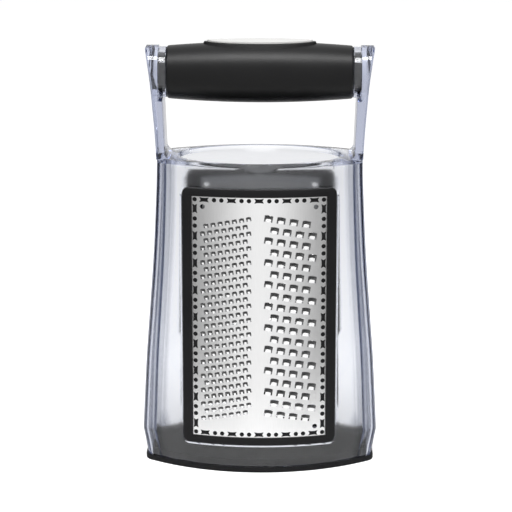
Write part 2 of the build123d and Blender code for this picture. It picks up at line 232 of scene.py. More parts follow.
# Profile of the ring as (inset, height)
foot_profile = [
    (-0.7, 0.0), (-1.1, 0.15), (-1.3, 0.55), (-1.3, 2.6), (-1.18, 3.0), (-0.85, 3.2),
    (-0.02, 3.2), (-0.02, 1.38), (5.6, 1.38), (5.6, 0.0),
]
foot_rings = [
    whole_plan(foot_half_width, z, inset, inset, corner_radius - inset) for inset, z in foot_profile
]
finished(
    "foot_ring_rubber", solid_mesh(*loft(foot_rings, True)),
    foot_rubber, "base", ["foot_ring"],
)

# Tray.
# A shallow dark plastic tray closes the body and catches what is grated.
# It is moulded in one piece: a floor, a flange under the clear body and an upstand inside it.
tray_plastic = moulded(
    "tray plastic", (0.012, 0.012, 0.0125), (0.018, 0.018, 0.0185), 0.6, 0.1, 1200.0, 0.00003, 0.0
)
tray_profile = [
    (0.35, 1.4), (0.05, 1.55), (0.05, 3.0), (0.2, 3.18), (3.2, 3.18), (3.3, 3.4), (3.3, 6.9),
    (3.6, 7.3), (4.0, 7.4), (4.6, 7.25), (5.0, 6.8), (5.0, 4.4), (5.3, 3.6), (6.0, 3.2),
]
tray_wall_share = 0.85
tray_least_corner = 0.4
tray_rings = [
    whole_plan(
        foot_half_width, z, inset, inset * tray_wall_share, max(corner_radius - inset, tray_least_corner)
    )
    for inset, z in tray_profile
]
finished(
    "tray_moulding", solid_mesh(*loft(tray_rings)),
    tray_plastic, "base", ["base_tray"],
)

# Clear side frames.
# Each side is one moulding in clear plastic with a faint blue tint: two upright corners, the side wall,
# a shelf at the rim and the arm that carries the handle.
seam_mark = 100.0
# Bands of painted shade along the corner and the seam, standing in for the dark lines that the clear corner
# shows: millimetres outwards from the seam, and depth
seam_painted_shade_bands = [
    (-4.0, 0.0), (-3.5, 0.0), (-3.1, 0.42), (-0.3, 0.46), (-0.1, 0.95), (1.0, 0.95), (1.3, 0.4), (2.3, 0.33),
    (2.7, 0.75), (3.3, 0.7), (3.7, 0.4), (5.2, 0.5), (6.4, 0.35), (7.6, 0.5), (9.0, 0.45),
]
bands_from = -4.0
bands_span = 14.0


def clear_material():
    """Clear styrene plastic: its blue tint deepens with the length that light travels in it, and bands of
    painted shade run along the corner and the seam.
    """
    material, tree, shader = new_material("clear plastic")
    # The mesh says where a wall is satin, which edges gather the tint, and how far the seam is
    satin, gathered, seam = [
        node(tree, "ShaderNodeAttribute", attribute_name=label).outputs["Fac"]
        for label in ("satin", "gathered", "seam")
    ]
    place = node(tree, "ShaderNodeTexCoord").outputs["Object"]
    flow = node(tree, "ShaderNodeMapping", {"Vector": place, "Scale": (70.0, 70.0, 9.0)}).outputs["Vector"]
    streaks = node(tree, "ShaderNodeTexNoise", {"Vector": flow, "Scale": 1.0, "Detail": 2.0}).outputs["Fac"]
    dull = reckon(tree, "MULTIPLY_ADD", streaks, 0.03, 0.0)
    facing = node(tree, "ShaderNodeLayerWeight", {"Blend": 0.5}).outputs["Facing"]
    slant = node(tree, "ShaderNodeMapRange", {
        "Value": facing, "From Min": 0.1, "From Max": 0.75, "To Max": 0.7,
    }, interpolation_type="SMOOTHSTEP").outputs["Result"]
    across = node(tree, "ShaderNodeMapRange", {
        "Value": seam, "From Min": seam_mark + bands_from, "From Max": seam_mark + bands_from + bands_span,
    }).outputs["Result"]
    # Painted shade: dark bands along the corner and the seam darken the tint
    bands = node(tree, "ShaderNodeValToRGB", {"Fac": across})
    ramp = bands.color_ramp.elements
    for index, (away, depth) in enumerate(seam_painted_shade_bands):
        share = (away - bands_from) / bands_span
        stop = ramp[index] if index < 2 else ramp.new(share)
        stop.position = share
        stop.color = (depth, depth, depth, 1)
    marked = reckon(tree, "MAXIMUM", bands.outputs["Color"], gathered)
    tint = node(tree, "ShaderNodeMix", {
        "Factor": reckon(tree, "MAXIMUM", slant, marked),
        "A": (0.96, 0.965, 0.975, 1), "B": (0.14, 0.165, 0.25, 1),
    }, data_type="RGBA").outputs["Result"]
    bump = node(tree, "ShaderNodeBump", {"Strength": 0.3, "Distance": 0.0002, "Height": streaks})
    feed(tree, shader, {
        "Transmission Weight": 1.0, "IOR": 1.5, "Base Color": tint, "Normal": bump.outputs["Normal"],
        "Roughness": reckon(tree, "MULTIPLY_ADD", satin, 0.18, dull),
    })
    inside = node(tree, "ShaderNodeVolumeAbsorption", {"Color": (0.0, 0.09, 0.4, 1), "Density": 20.0})
    feed(tree, tree.nodes["Material Output"], {"Volume": inside.outputs["Volume"]})
    return material


clear_plastic = clear_material()
body_height = body_top - body_bottom
base_half_width = 73.0
waist_half_width = 62.4
chamfer_top = 19.0
grip_axis = 241.5
arm_half_depth = 16.3
# Height and half width of the side's outline, from the foot to the top of the arm
outline = [
    (body_bottom, foot_half_width), (chamfer_top, base_half_width), (65.2, 70.4), (98.0, 67.7),
    (130.9, 65.1), (162.8, 63.3), (187.2, waist_half_width), (205.4, 63.1), (220.2, 64.2),
    (237.8, 65.7), (249.4, 67.4), (grip_axis + arm_half_depth, 69.4),
]


def smooth_width(z):
    """Half width of the side's outline, on a smooth curve above the base chamfer."""
    if z <= chamfer_top:
        share = max(z - body_bottom, 0) / (chamfer_top - body_bottom)
        return foot_half_width + share * (base_half_width - foot_half_width)
    curve = outline[1:]
    last = len(curve) - 1
    slopes = []
    for index in range(last + 1):
        low, high = curve[max(index - 1, 0)], curve[min(index + 1, last)]
        slopes.append((high[1] - low[1]) / (high[0] - low[0]))
    index = next((index for index in range(last) if z <= curve[index + 1][0]), last - 1)
    (low_z, low_x), (high_z, high_x) = curve[index], curve[index + 1]
    span = high_z - low_z
    t = min((z - low_z) / span, 1)
    return (
        (2 * t ** 3 - 3 * t ** 2 + 1) * low_x + (t ** 3 - 2 * t ** 2 + t) * span * slopes[index]
        + (3 * t ** 2 - 2 * t ** 3) * high_x + (t ** 3 - t ** 2) * span * slopes[index + 1]
    )


seam_from_side = 8.9
seam_shift = 2.8


def seam_x(z):
    """Place across of the seam between side frame and wall."""
    return smooth_width(z) - seam_from_side + min((z - body_bottom) / body_height, 1) * seam_shift


wall_thickness = 2.4
side_thickness = 3.0
seam_gap = 0.12
row_count = 36
rows = [body_bottom + body_height * row / row_count for row in range(row_count + 1)]
# One row lies on the edge of the base chamfer
rows[3] = chamfer_top


def along_wall(plan, stop, z, inset, steps):
    """Plan carried on along the wall's skin to one place across."""
    start = plan[-1][0]
    places = [start + (stop - start) * step / steps for step in range(1, steps + 1)]
    return plan + [(x, wall_y(x, z, inset)) for x in places]


def side_half(z, side_inset, wall_inset, corner):
    """Plan of a side frame's skin from the middle of its side to the seam."""
    quarter = quarter_plan(smooth_width(z), z, side_inset, wall_inset, corner)
    return along_wall(quarter, seam_x(z) + seam_gap, z, wall_inset, 3)


def side_plan(z):
    """Closed plan of the right side frame at one height."""
    outer = side_half(z, 0, 0, corner_radius)
    inner = side_half(z, side_thickness, wall_thickness, corner_radius - wall_thickness)
    rear = outer[1:] + list(reversed(inner[1:]))
    front = [(x, -y) for x, y in reversed(rear)]
    return [(x, y, z) for x, y in rear + front]


def solid_object(rings, closed=False):
    """Object for cutting and joining, in metres."""
    return linked("tool", solid_mesh(*loft(rings, closed)))


def mesh_of(thing):
    """Plain mesh of an object, with its modifiers carried out."""
    bpy.context.view_layer.update()
    return bpy.data.meshes.new_from_object(thing.evaluated_get(bpy.context.evaluated_depsgraph_get()))


def joined(base, tools, bevel=0.0):
    """Mesh of one moulding after its forms are joined or cut, with its edges eased."""
    for operation, tool in tools:
        step = base.modifiers.new(operation, "BOOLEAN")
        settled(step, operation=operation, solver="EXACT", object=tool)
    if bevel:
        settled(
            base.modifiers.new("ease", "BEVEL"), width=bevel * mm, segments=2,
            limit_method="ANGLE", angle_limit=math.radians(40), miter_outer="MITER_ARC",
        )
    mesh = mesh_of(base)
    for thing in [base] + [tool for operation, tool in tools]:
        bpy.data.objects.remove(thing)
    return mesh


arm_inner_at_rim = 57.3
arm_inner_at_grip = 61.0
arm_lean_out = 1.3
arm_foot_radius = 3.5
collar_radius = 15.4
grip_bend = grip_axis - collar_radius


def arm_inner_x(z):
    """Inner face of the arm: a round foot, a slight lean outwards, then a step for the collar."""
    if z > grip_bend:
        return arm_inner_at_grip
    rise = z - body_top
    x = arm_inner_at_rim + arm_lean_out * rise / (grip_bend - body_top)
    if rise < arm_foot_radius:
        x += math.sqrt(max(arm_foot_radius ** 2 - (arm_foot_radius - rise) ** 2, 0)) - arm_foot_radius
    return x


def arm_solid():
    """Right arm, a plate with a full round top and eased outer edges."""
    ease = 1.2
    near_depth = arm_half_depth - ease
    heights = [body_top + rise for rise in (-0.4, 0.15, 0.6, 1.4, 2.6, 4.2)]
    heights += [body_top + 6.5 + 3.9 * step for step in range(8)]
    heights += [grip_bend - 0.3, grip_bend, grip_bend + 0.1, 230.0, 234.0, 238.0]
    outer_rows = [(arm_half_depth, z, near_depth, z) for z in heights]
    for step in range(17):
        turn = math.pi / 2 * step / 16
        outer_rows.append((
            arm_half_depth * math.cos(turn), grip_axis + arm_half_depth * math.sin(turn),
            near_depth * math.cos(turn), grip_axis + near_depth * math.sin(turn),
        ))
    points, faces = [], []
    for depth, z, near, near_z in outer_rows:
        inner = arm_inner_x(max(z, body_top))
        side = smooth_width(z) - ease
        # Below the rim it stays just inside the side wall
        face = smooth_width(near_z) - (0.02 if z < body_top else 0)
        for way in (1, -1):
            points += [(inner, way * depth, z), (side, way * depth, z), (face, way * near, near_z)]
    loop = [0, 1, 2, 5, 4, 3]
    for row in range(len(outer_rows) - 1):
        low, high = 6 * row, 6 * (row + 1)
        for a, b in zip(loop, loop[1:] + loop[:1]):
            faces.append((low + a, low + b, high + b, high + a))
    faces.append((0, 3, 4, 5, 2, 1))
    return linked("tool", solid_mesh(points, faces))


split_x = 44.0
shelf_thickness = 3.0
shelf_into_wall = 0.3


def shelf_solid():
    """Plate inside the rim, a little into the walls, before the mouth is cut."""
    into = shelf_into_wall
    quarter = quarter_plan(waist_half_width, body_top, side_thickness - into, wall_thickness - into, 4.1)
    half = along_wall(quarter, split_x, body_top, wall_thickness - into, 6)[1:]
    plan = half + [(x, -y) for x, y in reversed(half)]
    levels = (body_top - shelf_thickness, body_top)
    return solid_object([[(x, y, z) for x, y in plan] for z in levels])


def oval(steps, half_across, half_along):
    """Points of an ellipse about zero."""
    turns = [2 * math.pi * step / steps for step in range(steps)]
    return [(half_across * math.cos(turn), half_along * math.sin(turn)) for turn in turns]


mouth_half_length = 49.6
mouth_half_width = 29.2


def mouth_solid():
    """Lens-shaped opening under the handle, as a block to cut away."""
    rings = []
    for rise, grow in ((-8.0, 0.0), (-0.5, 0.0), (0.0, 0.35), (2.0, 0.35)):
        lens = oval(72, mouth_half_length + grow, mouth_half_width + grow)
        rings.append([(x, y, body_top + rise) for x, y in lens])
    return solid_object(rings)


side_mesh = joined(
    solid_object([side_plan(z) for z in rows]),
    [("UNION", shelf_solid()), ("DIFFERENCE", mouth_solid()), ("UNION", arm_solid())],
    bevel=0.3,
)
rim_edge = body_top - 0.6


def mark_seam(mesh):
    """Corners of faces below the rim are told how far the seam is, so that the bands of painted shade follow
    it.
    """
    marks = [0.0] * len(mesh.loops)
    for polygon in mesh.polygons:
        if polygon.center.z / mm < rim_edge:
            for corner in polygon.loop_indices:
                place = mesh.vertices[mesh.loops[corner].vertex_index].co / mm
                marks[corner] = seam_mark + abs(place.x) - seam_x(place.z)
    mesh.attributes.new("seam", "FLOAT", "CORNER").data.foreach_set("value", marks)


half_turn = Matrix.Rotation(math.pi, 4, "Z")


def turned_round(mesh):
    """Copy of a mesh for the other side of the body."""
    other = mesh.copy()
    other.transform(half_turn)
    return other


mark_seam(side_mesh)
for side, mesh in (("right", side_mesh), ("left", turned_round(side_mesh))):
    finished(
        "side_frame_" + side + "_clear", mesh, clear_plastic, "body", ["side_frame_" + side]
    )

# Clear walls.
# Front and rear walls are curved clear mouldings, clipped between the side frames.
# Rails on each guide a cartridge, and a window behind it lets the gratings fall in.


def wall_plan(z):
    """Closed plan of the front wall at one height."""
    half = seam_x(z) - seam_gap
    steps = 28
    places = [half * (2 * step / steps - 1) for step in range(steps + 1)]
    outer = [(x, -wall_y(x, z, 0), z) for x in places]
    inner = [(x, -wall_y(x, z, wall_thickness), z) for x in reversed(places)]
    return outer + inner


seat = Matrix.Translation((0, -bottom_half_depth, body_bottom)) @ Matrix.Rotation(-lean, 4, "X")
frame_width = 93.2
frame_height = 158.2
frame_corner = 4.0
frame_bottom = 15.2
middle_z = frame_bottom + frame_height / 2


def rounded_loop(width, height, corner):
    """Rounded rectangle of points (x, z), with its level edges divided so that they can bend."""
    half_x, half_z = width / 2, height / 2
    points = []
    divisions = 29
    turn_steps = 6
    for index, (way_x, way_z, first) in enumerate(((1, -1, -90), (1, 1, 0), (-1, 1, 90), (-1, -1, 180))):
        centre_x, centre_z = way_x * (half_x - corner), way_z * (half_z - corner)
        for step in range(turn_steps + 1):
            turn = math.radians(first + 90 * step / turn_steps)
            points.append((centre_x + corner * math.cos(turn), centre_z + corner * math.sin(turn)))
        if index in (1, 3):
            reach = -2 * way_x * (half_x - corner)
            for step in range(1, divisions):
                points.append((centre_x + reach * step / divisions, way_z * half_z))
    return [(x, z + middle_z) for x, z in points]


def on_wall(x, height, z):
    """Place at a height above the wall's skin, in the leaning frame of the wall."""
    return (x, wall_radius - math.sqrt((wall_radius + height) ** 2 - x ** 2), z)


def bent_ring(profile, base_width, base_height, base_corner):
    """Rings of a profile of (inset across, inset along, height above the wall) round a rectangle."""
    rings = []
    for across, along, height in profile:
        corner = max(base_corner - (across + along) / 2, 0.3)
        loop = rounded_loop(base_width - 2 * across, base_height - 2 * along, corner)
        rings.append([on_wall(x, height, z) for x, z in loop])
    return rings


def seated(rings):
    """Rings moved from the wall's own frame to the front of the body."""
    return [[tuple(seat @ Vector(point)) for point in ring] for ring in rings]


window_width = 73.6
window_height = 140.8
window_corner = 2.2
window_rings = bent_ring([(0, 0, -6.0), (0, 0, 3.0)], window_width, window_height, window_corner)
rail_profile = [(-1.3, -1.3, -0.2), (-1.3, -1.3, 3.3), (-0.3, -0.3, 3.3), (-0.3, -0.3, -0.2)]
rail_rings = bent_ring(rail_profile, frame_width, frame_height, frame_corner)
crop_z = frame_bottom + frame_height - 5.0
crop_plan = ((-60, -20), (60, -20), (60, 40), (-60, 40))
crop_rings = [[(x, y, z) for x, y in crop_plan] for z in (crop_z, crop_z + 30)]
rails = linked("rails", joined(
    solid_object(seated(rail_rings), True),
    [("DIFFERENCE", solid_object(seated(crop_rings)))],
))
lip_rings = []
for z in (body_top - shelf_thickness, body_top):
    places = [(split_x - seam_gap) * (2 * step / 24 - 1) for step in range(25)]
    ring = [(x, -wall_y(x, body_top, wall_thickness - shelf_into_wall), z) for x in places]
    lip_rings.append(ring + [(x, -8.0, z) for x in (places[-1], places[0])])
wall_mesh = joined(
    solid_object([wall_plan(z) for z in rows]),
    [
        ("UNION", solid_object(lip_rings)),
        ("DIFFERENCE", mouth_solid()),
        ("UNION", rails),
        ("DIFFERENCE", solid_object(seated(window_rings))),
    ],
    bevel=0.25,
)
mark_seam(wall_mesh)
# Inside, a wall keeps a satin finish from its mould, and its narrow top edge gathers the tint
for side, mesh, inwards in (("front", wall_mesh, 1), ("rear", turned_round(wall_mesh), -1)):
    wall = finished(side + "_wall_clear", mesh, clear_plastic, "body", [side + "_wall"])
    faces = wall.data.polygons
    satin = [1.0 if face.normal.y * inwards > 0.6 else 0.0 for face in faces]
    gathered = [0.8 if face.center.z / mm > rim_edge else 0.0 for face in faces]
    for label, values in (("satin", satin), ("gathered", gathered)):
        wall.data.attributes.new(label, "FLOAT", "FACE").data.foreach_set("value", values)

# Cartridge frames.
# Each blade sits in a dark moulded frame with rounded corners, bent to the wall's curve.
# A groove down each side runs on the wall's rails, so the cartridge slides up and out.
cartridge_plastic = moulded(
    "cartridge plastic", (0.012, 0.012, 0.0125), (0.02, 0.02, 0.021), 0.45, 0.1, 1500.0, 0.00003, 0.12
)
blade_height = 3.4
frame_profile = [
    (0.0, 0.0, 0.3), (0.0, 0.0, 1.3), (1.2, 0.0, 1.3), (1.2, 0.0, 3.0), (0.0, 0.0, 3.0), (0.0, 0.0, 3.9),
    (0.25, 0.25, 4.35), (0.7, 0.7, 4.5), (5.2, 4.1, 4.5), (5.6, 4.5, 4.4), (5.8, 4.7, 4.1),
    (5.8, 4.7, blade_height), (4.2, 3.1, blade_height), (4.2, 3.1, 2.9), (9.0, 5.2, 2.9), (9.0, 5.2, 0.3),
]
frame_rings = bent_ring(frame_profile, frame_width, frame_height, frame_corner)
sides = (("front", Matrix.Identity(4)), ("rear", half_turn))
for side, way in sides:
    finished(
        side + "_cartridge_frame", solid_mesh(*loft(frame_rings, True), way @ seat),
        cartridge_plastic, side + "_cartridge", [side + "_frame"],
    )

# Blades.
# Thin stainless sheet is etched through round every tooth, pressed so that the teeth stand out,
# and bent to the wall's curve. The front one has fine teeth on the left and coarse ones on the right.


def brushed_sheet():
    """Fine lines that brushing leaves along a sheet."""
    tree, given, made = new_tree(
        "Shader", "Brushed sheet",
        [("Color", "Dark"), ("Color", "Bright"), ("Float", "Smooth"), ("Float", "Rough")],
        [("Color", "Colour"), ("Float", "Roughness")],
    )
    place = node(tree, "ShaderNodeTexCoord").outputs["Object"]
    stretch = node(tree, "ShaderNodeMapping", {"Vector": place, "Scale": (2600.0, 2600.0, 60.0)})
    lines = node(tree, "ShaderNodeTexNoise", {
        "Vector": stretch.outputs["Vector"], "Scale": 1.0, "Detail": 2.0,
    }).outputs["Fac"]
    tone = node(tree, "ShaderNodeMix", {
        "Factor": lines, "A": given["Dark"], "B": given["Bright"],
    }, data_type="RGBA")
    rough = node(tree, "ShaderNodeMapRange", {
        "Value": lines, "To Min": given["Smooth"], "To Max": given["Rough"],
    })
    feed(tree, made, {"Colour": tone.outputs["Result"], "Roughness": rough.outputs["Result"]})
    return tree


brushed_group = brushed_sheet()


def steel_material(name, dark, bright, smooth, rough):
    """Stainless sheet, brushed along the blade."""
    material, tree, shader = new_material(name)
    brushed = node(tree, "ShaderNodeGroup", {
        "Dark": (dark, dark, dark, 1), "Bright": (bright, bright, bright, 1),
        "Smooth": smooth, "Rough": rough,
    }, node_tree=brushed_group).outputs
    feed(tree, shader, {
        "Metallic": 1.0, "Base Color": brushed["Colour"], "Roughness": brushed["Roughness"],
    })
    return material


blade_steel = steel_material("blade steel", 0.88, 0.97, 0.26, 0.36)
# Painted shade: the back of the sheet is darker than the front, for the shade inside the body
painted_shade_back_steel = steel_material("blade steel back painted shade", 0.55, 0.65, 0.45, 0.6)
# Painted shade: the chutes and the edges of the openings are dark, for the shade seen through the openings
painted_shade_steel = steel_material("blade steel painted shade", 0.22, 0.3, 0.5, 0.65)


def shape_tree(name, inputs):
    """Geometry Nodes tree with named inputs and one geometry output."""
    return new_tree("Geometry", name, inputs, [("Geometry", "Geometry")])


def combine(tree, **parts):
    """Vector from its parts."""
    return node(tree, "ShaderNodeCombineXYZ", parts).outputs["Vector"]


def instances(tree, count, position, instance, turn):
    """A shape set on points, each turned about the axis that runs inwards."""
    points = node(tree, "GeometryNodePoints", {"Count": count, "Position": position}).outputs["Points"]
    return node(tree, "GeometryNodeInstanceOnPoints", {
        "Points": points, "Instance": instance, "Rotation": combine(tree, Y=turn),
    }).outputs["Instances"]


tooth_parts = ["Cut", "Tongue", "Chute"]
field_counts = ["Rows", "Columns"]
field_sizes = ["First Across", "First Up", "Pitch Across", "Pitch Down", "Stagger", "Slope"]
field_inputs = [("Int", label) for label in field_counts] + [("Float", label) for label in field_sizes]


def tooth_field_tree():
    """Sloping rows of one tooth, every second row moved along."""
    tree, given, made = shape_tree("Tooth field", [("Geometry", "Tooth")] + field_inputs)
    maths = partial(reckon, tree)
    index = node(tree, "GeometryNodeInputIndex").outputs["Index"]
    row = maths("FLOOR", maths("DIVIDE", index, given["Columns"]))
    column = maths("SUBTRACT", index, maths("MULTIPLY", row, given["Columns"]))
    moved = maths("MULTIPLY", given["Stagger"], maths("MODULO", row, 2.0))
    along = maths("MULTIPLY_ADD", column, given["Pitch Across"], moved)
    climb = maths("MULTIPLY", along, maths("TANGENT", given["Slope"]))
    down = maths("MULTIPLY", row, given["Pitch Down"])
    up = maths("SUBTRACT", maths("ADD", given["First Up"], climb), down)
    place = combine(tree, X=maths("ADD", given["First Across"], along), Z=up)
    count = maths("MULTIPLY", given["Rows"], given["Columns"])
    teeth = instances(tree, count, place, given["Tooth"], maths("MULTIPLY", given["Slope"], -1.0))
    feed(tree, made, {"Geometry": teeth})
    return tree


def bend_tree():
    """Flat sheet bent round the wall: its depth becomes a height above the wall's skin."""
    tree, given, made = shape_tree("Bend to wall", [
        ("Geometry", "Flat"), ("Float", "Radius"), ("Float", "Height"),
    ])
    maths = partial(reckon, tree)
    place = node(tree, "GeometryNodeInputPosition").outputs["Position"]
    flat = node(tree, "ShaderNodeSeparateXYZ", {"Vector": place}).outputs
    skin = maths("SUBTRACT", maths("ADD", given["Radius"], given["Height"]), flat["Y"])
    across = maths("MULTIPLY", flat["X"], flat["X"])
    reach = maths("SQRT", maths("SUBTRACT", maths("MULTIPLY", skin, skin), across))
    place = combine(tree, X=flat["X"], Y=maths("SUBTRACT", given["Radius"], reach), Z=flat["Z"])
    bent = node(tree, "GeometryNodeSetPosition", {"Geometry": given["Flat"], "Position": place})
    feed(tree, made, {"Geometry": bent.outputs["Geometry"]})
    return tree


def named(owner, labels, values):
    """Values of one field or row, under the names of the inputs."""
    return {owner + " " + label: value for label, value in zip(labels, values)}


field_group = tooth_field_tree()
bend_group = bend_tree()


def from_object(tree, socket):
    """Shape of the object that a socket names."""
    return node(tree, "GeometryNodeObjectInfo", {"Object": socket}).outputs["Geometry"]


def realized(tree, geometry):
    """Instances turned into plain mesh."""
    return node(tree, "GeometryNodeRealizeInstances", {"Geometry": geometry}).outputs["Geometry"]


def bend_and_finish(tree, given, made, flat, material):
    """Last steps of a tree: its flat shape is bent, made real and given its material."""
    bent = node(tree, "GeometryNodeGroup", {
        "Flat": realized(tree, flat), "Radius": given["Wall Radius"], "Height": given["Sheet Above Wall"],
    }, node_tree=bend_group).outputs["Geometry"]
    done = node(tree, "GeometryNodeSetMaterial", {"Geometry": realized(tree, bent), "Material": material})
    feed(tree, made, {"Geometry": done.outputs["Geometry"]})


def blade_tree(fields):
    """Blade sheet, cut by each field's openings, set with its tongues and chutes, then bent."""
    inputs = [("Float", "Sheet " + size) for size in ("Width", "Height", "Middle", "Thickness", "Above Wall")]
    inputs += [("Float", "Wall Radius"), ("Object", "Placing Holes"), ("Material", "Steel")]
    for field in fields:
        inputs += [("Object", field + " " + part) for part in tooth_parts]
        inputs += [(kind, field + " " + label) for kind, label in field_inputs]
    tree, given, made = shape_tree("Pressed blade", inputs)
    flat = node(tree, "GeometryNodeMeshCube", {
        "Size": combine(tree, X=given["Sheet Width"], Y=given["Sheet Thickness"], Z=given["Sheet Height"]),
        "Vertices X": 41, "Vertices Y": 2, "Vertices Z": 9,
    })
    half = reckon(tree, "MULTIPLY", given["Sheet Thickness"], 0.5)
    sheet = node(tree, "GeometryNodeTransform", {
        "Geometry": flat.outputs["Mesh"], "Translation": combine(tree, Y=half, Z=given["Sheet Middle"]),
    })
    cuts = node(tree, "GeometryNodeJoinGeometry", {"Geometry": from_object(tree, given["Placing Holes"])})
    whole = node(tree, "GeometryNodeJoinGeometry")
    for field in fields:
        for part, group in zip(tooth_parts, (cuts, whole, whole)):
            numbers = {label: given[field + " " + label] for kind, label in field_inputs}
            shape = from_object(tree, given[field + " " + part])
            teeth = node(tree, "GeometryNodeGroup", {"Tooth": shape, **numbers}, node_tree=field_group)
            feed(tree, group, {"Geometry": teeth.outputs["Geometry"]})
    etched = node(tree, "GeometryNodeMeshBoolean", {
        "Mesh 1": sheet.outputs["Geometry"], "Mesh 2": realized(tree, cuts.outputs["Geometry"]),
    }, operation="DIFFERENCE", solver="MANIFOLD")
    feed(tree, whole, {"Geometry": etched.outputs["Mesh"]})
    bend_and_finish(tree, given, made, whole.outputs["Geometry"], given["Steel"])
    return tree


def grown(tree, values):
    """Plain mesh that a Geometry Nodes tree makes from its named inputs."""
    carrier = linked("carrier", bpy.data.meshes.new("carrier"))
    maker = carrier.modifiers.new("maker", "NODES")
    maker.node_group = tree
    for item in tree.interface.items_tree:
        if item.in_out == "INPUT" and item.name in values:
            maker[item.identifier] = values[item.name]
    mesh = mesh_of(carrier)
    carrier.modifiers.remove(maker)
    bpy.data.objects.remove(carrier)
    return mesh


def onto_side(mesh, way):
    """Mesh in metres moved from the wall's own frame to one side of the body."""
    for step in (Matrix.Scale(1 / mm, 4), way @ seat, Matrix.Scale(mm, 4)):
        mesh.transform(step)
    return mesh


cut_levels = (-3.0, 3.0)


def opening_solid(width, below, above, arch):
    """Cutting block for one tooth, with an arched top. Its zero is the tongue's edge."""
    half = width / 2
    front = [(-half, -below), (half, -below)]
    for step in range(7):
        x = half * (1 - step / 3)
        front.append((x, above - arch * (x / half) ** 2))
    return solid_object([[(x, y, z) for x, z in front] for y in cut_levels])


def tongue_solid(width, length, rise, arch, thick):
    """Tongue pressed out of the sheet: it thins and narrows towards its free edge, which is arched."""
    across, up = 6, 3
    rings = []
    for row in range(up + 1):
        share = row / up
        front, back = [], []
        for column in range(across + 1):
            u = 2 * column / across - 1
            x = u * width / 2 * (1 - 0.06 * share)
            z = -length - 0.3 + share * (length + 0.3) * (1 - 0.14 * u * u)
            y = 0.03 - rise * share ** 1.4 * (1 - arch * u * u)
            front.append((x, y, z))
            back.append((x, y + thick * (1 - 0.7 * share), z - 0.25 * share * thick))
        rings.append(front + back[::-1])
    return solid_object(rings)


def chute_solid(width, above, drop, arch):
    """Chute under one tooth's edge, where the sheet is pressed inwards and gratings leave."""
    half = width / 2 + 0.08
    rings = []
    for share_z, share_y in ((0.2, 0.15), (0.0, 0.6), (-0.5, 1.0), (-1.1, 1.0)):
        front, back = [], []
        for u in (-1.0, -0.86, -0.45, 0.0, 0.45, 0.86, 1.0):
            top = above + 0.15 - arch * u * u
            z = top * (0.35 + 0.65 * (share_z + 1.0) / 1.2) - 0.55 * (1.1 - share_z) * above * 0.6
            y = 0.12 + (drop - 0.12) * share_y * (1 - abs(u) ** 6)
            front.append((u * half, y, z))
            back.append((u * half, y + 0.2, z))
        rings.append(front + back[::-1])
    return solid_object(rings)


def tooth(width, below, above, arch, tongue_width, rise, crown, thick, drop):
    """Shapes of one tooth: its opening, its tongue and the chute under its edge."""
    return (
        opening_solid(width, below, above, arch), tongue_solid(tongue_width, below, rise, crown, thick),
        chute_solid(width, above, drop, arch),
    )


def drill_solid(places, radius):
    """Round cutting blocks for the holes that place the blade in its mould."""
    points, faces = [], []
    for across, up in places:
        circle = oval(20, radius, radius)
        more, rounds = loft([[(across + x, y, up + z) for x, z in circle] for y in cut_levels])
        faces += [tuple(index + len(points) for index in face) for face in rounds]
        points += more
    return linked("tool", solid_mesh(points, faces))


placing_x = 34.0
placing_z = 68.2
placing_radius = 1.45
sheet_width = 84.6
sheet_height = 151.8
sheet_thickness = 0.5


def blade_mesh(fields, way):
    """One blade from its fields of teeth, seated on its side of the body."""
    ways = ((-1, 1), (1, 1), (1, -1))
    drills = drill_solid([(x * placing_x, middle_z + z * placing_z) for x, z in ways], placing_radius)
    values = {
        "Sheet Width": sheet_width * mm, "Sheet Height": sheet_height * mm, "Sheet Middle": middle_z * mm,
        "Sheet Thickness": sheet_thickness * mm, "Sheet Above Wall": blade_height * mm,
        "Wall Radius": wall_radius * mm, "Placing Holes": drills, "Steel": blade_steel,
    }
    tools = [drills]
    labels = tooth_parts + field_counts + field_sizes
    for field, (shapes, counts, lengths, slope) in fields.items():
        tools += shapes
        lengths = [length * mm for length in lengths]
        values |= named(field, labels, [*shapes, *counts, *lengths, math.radians(slope)])
    mesh = grown(blade_tree(list(fields)), values)
    for tool in tools:
        bpy.data.objects.remove(tool)
    return onto_side(mesh, way)


blade_top = middle_z + 74.4
# Fields of teeth: shapes of one tooth, rows and columns, lengths in the inputs' order, slope in degrees
front_fields = {
    "Fine": (
        tooth(3.0, 1.4, 1.35, 0.3, 1.4, 0.5, 0.3, 0.3, 0.9),
        (28, 7), (-31.9, blade_top - 17.8, 4.28, 4.417, -2.1), 10.8,
    ),
    "Coarse": (
        tooth(5.1, 2.2, 2.0, 0.35, 3.4, 1.1, 0.3, 0.4, 1.3),
        (19, 4), (5.7, blade_top - 12.5, 7.55, 6.68, 3.6), -9.5,
    ),
}
rear_fields = {
    "Extra": (
        tooth(7.2, 4.2, 1.2, 0.45, 6.2, 1.5, 0.3, 0.4, 1.4),
        (12, 3), (7.2, blade_top - 15.0, 10.4, 10.6, 3.6), -9.5,
    ),
    "Ribbon": (
        tooth(28.0, 3.8, 1.2, 0.5, 27.2, 1.6, 0.15, 0.4, 1.4),
        (11, 1), (-19.5, blade_top - 16.0, 30.0, 11.6, 0.0), 0.0,
    ),
}
